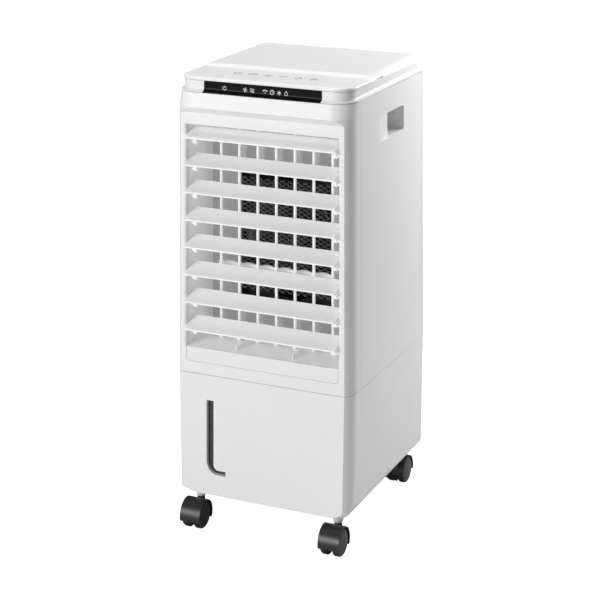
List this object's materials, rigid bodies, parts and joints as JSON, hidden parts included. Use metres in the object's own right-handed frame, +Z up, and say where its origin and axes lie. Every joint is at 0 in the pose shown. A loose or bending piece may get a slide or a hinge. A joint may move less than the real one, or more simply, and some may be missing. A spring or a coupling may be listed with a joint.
{
  "type": "evaporative cooler",
  "caption": "Upright white evaporative air cooler with tilting front blades, swing vanes, fan, pad, rear water drawer and twin-wheel casters.",
  "frame": {"origin": "on the floor, under the middle of the cabinet", "axes": "+Z up, -Y out of the air outlet, +X to the right seen from the front"},
  "size_m": [0.256, 0.2933, 0.6075],
  "materials": {
    "white_shell": "fine satin moulded white",
    "white_louver": "smooth satin white",
    "black_gloss": "gloss black",
    "smoke_window": "smoked clear",
    "black_plastic": "satin black",
    "caster_tread": "smooth black nylon",
    "steel": "bright zinc",
    "motor_metal": "plain metal",
    "circuit_board": "green board",
    "grey_plastic": "moulded grey",
    "clear_plastic": "milky clear",
    "pad_paper": "corrugated paper",
    "filter_mesh": "woven nylon mesh",
    "pale_collar": "smooth pale nylon"
  },
  "bodies": {
    "cabinet": {"air_duct": "white_louver", "back_panel": "white_shell", "base_housing": "white_shell", "case_screws": "steel", "caster_sockets": "pale_collar", "control_board": "circuit_board", "control_plate": "white_shell", "cooling_pad": "pad_paper", "display_window": "black_gloss", "fan_motor": "motor_metal", "fan_shroud": "black_plastic", "front_panel": "white_shell", "left_side_panel": "white_shell", "level_window": "smoke_window", "louver_frame": "white_louver", "outlet_guard": "black_plastic", "pad_frame": "grey_plastic", "power_cord": "black_plastic", "right_side_panel": "white_shell", "swing_motor": "motor_metal", "top_cap": "white_shell", "water_tray": "grey_plastic", "water_tube": "clear_plastic"},
    "blade_1": {"louver_blade_1": "white_louver"},
    "blade_2": {"louver_blade_2": "white_louver"},
    "blade_3": {"louver_blade_3": "white_louver"},
    "blade_4": {"louver_blade_4": "white_louver"},
    "blade_5": {"louver_blade_5": "white_louver"},
    "blade_6": {"louver_blade_6": "white_louver"},
    "blade_7": {"louver_blade_7": "white_louver"},
    "blade_8": {"louver_blade_8": "white_louver"},
    "blade_link_bar": {"blade_link": "white_louver"},
    "vane_1": {"swing_vane_1": "white_louver"},
    "vane_2": {"swing_vane_2": "white_louver"},
    "vane_3": {"swing_vane_3": "white_louver"},
    "vane_4": {"swing_vane_4": "white_louver"},
    "vane_5": {"swing_vane_5": "white_louver"},
    "vane_6": {"swing_vane_6": "white_louver"},
    "vane_7": {"swing_vane_7": "white_louver"},
    "vane_tie": {"vane_tie_bar": "white_louver"},
    "fan": {"fan_wheel": "black_plastic", "fan_shaft": "steel"},
    "tank": {"water_tank": "clear_plastic", "tank_door": "white_shell", "water_pump": "grey_plastic"},
    "filter": {"filter_frame": "white_shell", "dust_filter": "filter_mesh"},
    "caster_front_left": {"caster_hood_front_left": "black_plastic", "caster_axle_front_left": "steel"},
    "wheels_front_left": {"caster_wheels_front_left": "caster_tread"},
    "caster_front_right": {"caster_hood_front_right": "black_plastic", "caster_axle_front_right": "steel"},
    "wheels_front_right": {"caster_wheels_front_right": "caster_tread"},
    "caster_rear_left": {"caster_hood_rear_left": "black_plastic", "caster_axle_rear_left": "steel"},
    "wheels_rear_left": {"caster_wheels_rear_left": "caster_tread"},
    "caster_rear_right": {"caster_hood_rear_right": "black_plastic", "caster_axle_rear_right": "steel"},
    "wheels_rear_right": {"caster_wheels_rear_right": "caster_tread"}
  },
  "joints": [
    {"name": "blade_1_tilt", "type": "hinge", "parent": "cabinet", "child": "blade_1", "pos_m": [0, -0.121, 0.5137], "axis": [1, 0, 0], "range_deg": [-25, 30]},
    {"name": "blade_2_tilt", "type": "hinge", "parent": "cabinet", "child": "blade_2", "pos_m": [0, -0.121, 0.4773], "axis": [1, 0, 0], "range_deg": [-25, 30]},
    {"name": "blade_3_tilt", "type": "hinge", "parent": "cabinet", "child": "blade_3", "pos_m": [0, -0.121, 0.4409], "axis": [1, 0, 0], "range_deg": [-25, 30]},
    {"name": "blade_4_tilt", "type": "hinge", "parent": "cabinet", "child": "blade_4", "pos_m": [0, -0.121, 0.4045], "axis": [1, 0, 0], "range_deg": [-25, 30]},
    {"name": "blade_5_tilt", "type": "hinge", "parent": "cabinet", "child": "blade_5", "pos_m": [0, -0.121, 0.3681], "axis": [1, 0, 0], "range_deg": [-25, 30]},
    {"name": "blade_6_tilt", "type": "hinge", "parent": "cabinet", "child": "blade_6", "pos_m": [0, -0.121, 0.3317], "axis": [1, 0, 0], "range_deg": [-25, 30]},
    {"name": "blade_7_tilt", "type": "hinge", "parent": "cabinet", "child": "blade_7", "pos_m": [0, -0.121, 0.2953], "axis": [1, 0, 0], "range_deg": [-25, 30]},
    {"name": "blade_8_tilt", "type": "hinge", "parent": "cabinet", "child": "blade_8", "pos_m": [0, -0.121, 0.2589], "axis": [1, 0, 0], "range_deg": [-25, 30]},
    {"name": "blade_link_pivot", "type": "hinge", "parent": "blade_1", "child": "blade_link_bar", "pos_m": [0.1065, -0.1105, 0.5137], "axis": [1, 0, 0], "range_deg": [-30, 25]},
    {"name": "vane_1_swing", "type": "hinge", "parent": "cabinet", "child": "vane_1", "pos_m": [-0.08205, -0.0844, 0.39], "axis": [0, 0, 1], "range_deg": [-66, 14]},
    {"name": "vane_2_swing", "type": "hinge", "parent": "cabinet", "child": "vane_2", "pos_m": [-0.0547, -0.0844, 0.39], "axis": [0, 0, 1], "range_deg": [-66, 14]},
    {"name": "vane_3_swing", "type": "hinge", "parent": "cabinet", "child": "vane_3", "pos_m": [-0.02735, -0.0844, 0.39], "axis": [0, 0, 1], "range_deg": [-66, 14]},
    {"name": "vane_4_swing", "type": "hinge", "parent": "cabinet", "child": "vane_4", "pos_m": [0, -0.0844, 0.39], "axis": [0, 0, 1], "range_deg": [-66, 14]},
    {"name": "vane_5_swing", "type": "hinge", "parent": "cabinet", "child": "vane_5", "pos_m": [0.02735, -0.0844, 0.39], "axis": [0, 0, 1], "range_deg": [-66, 14]},
    {"name": "vane_6_swing", "type": "hinge", "parent": "cabinet", "child": "vane_6", "pos_m": [0.0547, -0.0844, 0.39], "axis": [0, 0, 1], "range_deg": [-66, 14]},
    {"name": "vane_7_swing", "type": "hinge", "parent": "cabinet", "child": "vane_7", "pos_m": [0.08205, -0.0844, 0.39], "axis": [0, 0, 1], "range_deg": [-66, 14]},
    {"name": "vane_tie_pivot", "type": "hinge", "parent": "vane_4", "child": "vane_tie", "pos_m": [-0.00658, -0.07092, 0.341], "axis": [0, 0, 1], "range_deg": [-14, 66]},
    {"name": "fan_spin", "type": "hinge", "parent": "cabinet", "child": "fan", "pos_m": [0, -0.02, 0.3795], "axis": [0, 1, 0], "continuous": true},
    {"name": "tank_slide", "type": "slide", "parent": "cabinet", "child": "tank", "axis": [0, 1, 0], "range_m": [0, 0.18]},
    {"name": "filter_slide", "type": "slide", "parent": "cabinet", "child": "filter", "axis": [0, 1, 0], "range_m": [0, 0.03]},
    {"name": "caster_front_left_swivel", "type": "hinge", "parent": "cabinet", "child": "caster_front_left", "pos_m": [-0.1, -0.109, 0.06], "axis": [0, 0, 1], "continuous": true},
    {"name": "wheels_front_left_spin", "type": "hinge", "parent": "caster_front_left", "child": "wheels_front_left", "pos_m": [-0.1, -0.124, 0.0178], "axis": [1, 0, 0], "continuous": true},
    {"name": "caster_front_right_swivel", "type": "hinge", "parent": "cabinet", "child": "caster_front_right", "pos_m": [0.1, -0.109, 0.06], "axis": [0, 0, 1], "continuous": true},
    {"name": "wheels_front_right_spin", "type": "hinge", "parent": "caster_front_right", "child": "wheels_front_right", "pos_m": [0.1, -0.124, 0.0178], "axis": [1, 0, 0], "continuous": true},
    {"name": "caster_rear_left_swivel", "type": "hinge", "parent": "cabinet", "child": "caster_rear_left", "pos_m": [-0.095, 0.109, 0.06], "axis": [0, 0, 1], "continuous": true},
    {"name": "wheels_rear_left_spin", "type": "hinge", "parent": "caster_rear_left", "child": "wheels_rear_left", "pos_m": [-0.095, 0.124, 0.0178], "axis": [1, 0, 0], "continuous": true},
    {"name": "caster_rear_right_swivel", "type": "hinge", "parent": "cabinet", "child": "caster_rear_right", "pos_m": [0.095, 0.109, 0.06], "axis": [0, 0, 1], "continuous": true},
    {"name": "wheels_rear_right_spin", "type": "hinge", "parent": "caster_rear_right", "child": "wheels_rear_right", "pos_m": [0.095, 0.124, 0.0178], "axis": [1, 0, 0], "continuous": true}
  ],
  "couplings": [
    {"joint": "blade_2_tilt", "follows": "blade_1_tilt", "ratio": 1},
    {"joint": "blade_3_tilt", "follows": "blade_1_tilt", "ratio": 1},
    {"joint": "blade_4_tilt", "follows": "blade_1_tilt", "ratio": 1},
    {"joint": "blade_5_tilt", "follows": "blade_1_tilt", "ratio": 1},
    {"joint": "blade_6_tilt", "follows": "blade_1_tilt", "ratio": 1},
    {"joint": "blade_7_tilt", "follows": "blade_1_tilt", "ratio": 1},
    {"joint": "blade_8_tilt", "follows": "blade_1_tilt", "ratio": 1},
    {"joint": "blade_link_pivot", "follows": "blade_1_tilt", "ratio": -1},
    {"joint": "vane_1_swing", "follows": "vane_4_swing", "ratio": 1},
    {"joint": "vane_2_swing", "follows": "vane_4_swing", "ratio": 1},
    {"joint": "vane_3_swing", "follows": "vane_4_swing", "ratio": 1},
    {"joint": "vane_5_swing", "follows": "vane_4_swing", "ratio": 1},
    {"joint": "vane_6_swing", "follows": "vane_4_swing", "ratio": 1},
    {"joint": "vane_7_swing", "follows": "vane_4_swing", "ratio": 1},
    {"joint": "vane_tie_pivot", "follows": "vane_4_swing", "ratio": -1}
  ]
}
